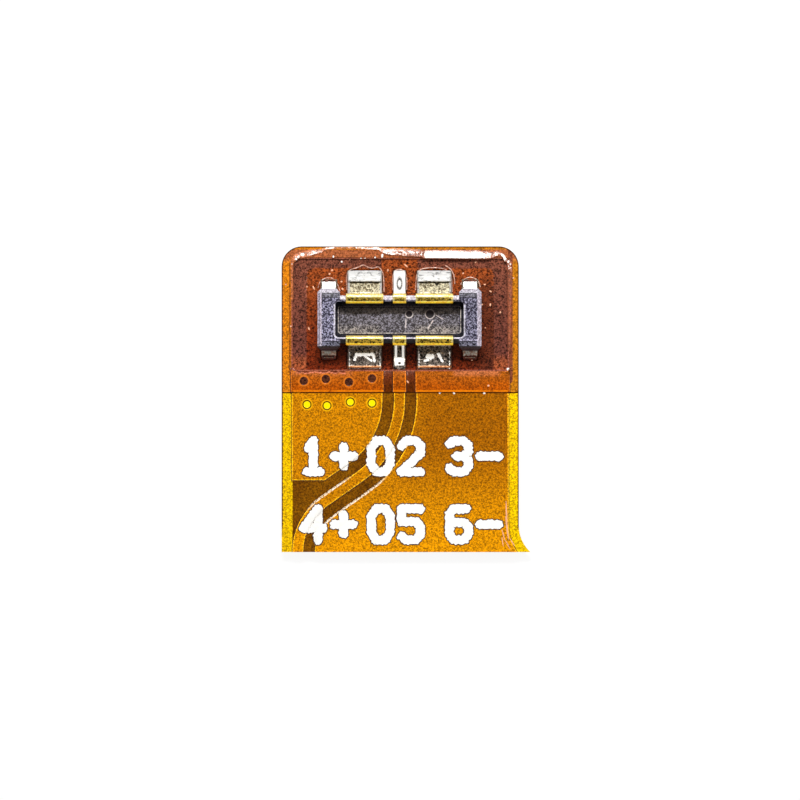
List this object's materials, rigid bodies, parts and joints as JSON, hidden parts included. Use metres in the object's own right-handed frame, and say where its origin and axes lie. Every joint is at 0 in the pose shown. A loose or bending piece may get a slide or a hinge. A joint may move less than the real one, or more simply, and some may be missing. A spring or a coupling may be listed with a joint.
{
  "type": "mobile phone battery connector tail",
  "caption": "Flexible circuit tail of a phone battery with a soldered board-to-board power plug on a steel-backed tip.",
  "frame": {"origin": "on the stiffener's underside, straight below the centre of the plug", "axes": "+Z out of the plug's mating side, +Y from the cut root of the tail to its tip, +X to the right seen from the plug's side"},
  "size_m": [0.0089, 0.011, 0.0013],
  "materials": {
    "stainless_steel": "rolled stainless sheet, satin",
    "adhesive": "cured amber adhesive",
    "cover_film": "amber polyimide, glossy",
    "base_film": "brown amber polyimide, glossy",
    "reinforcing_film": "reddish amber polyimide, glossy",
    "copper": "etched copper",
    "white_ink": "white screen print",
    "housing_plastic": "black moulded plastic, fine grain",
    "contact_metal": "gold-plated copper alloy, tinned tails",
    "fitting_metal": "tinned strip",
    "solder": "reflowed solder"
  },
  "bodies": {
    "root": {"stiffener": "stainless_steel", "stiffener_adhesive": "adhesive", "bottom_cover_film": "cover_film", "bottom_copper_positive": "copper", "bottom_copper_negative": "copper", "bottom_copper_thermistor": "copper", "base_film": "base_film", "top_copper_positive": "copper", "top_copper_negative": "copper", "top_copper_ident": "copper", "upper_pads": "copper", "fitting_pads": "copper", "plated_holes": "copper", "pad_plugs": "copper", "top_cover_film": "cover_film", "reinforcing_film": "reinforcing_film", "terminal_marks": "white_ink", "plug_housing": "housing_plastic", "contact_positive_upper": "contact_metal", "contact_positive_lower": "contact_metal", "contact_negative_upper": "contact_metal", "contact_negative_lower": "contact_metal", "contact_thermistor": "contact_metal", "contact_ident": "contact_metal", "solder_positive_upper": "solder", "solder_positive_lower": "solder", "solder_negative_upper": "solder", "solder_negative_lower": "solder", "solder_thermistor": "solder", "solder_ident": "solder", "fitting_left": "fitting_metal", "fitting_right": "fitting_metal", "solder_fitting_left": "solder", "solder_fitting_right": "solder"}
  },
  "joints": []
}
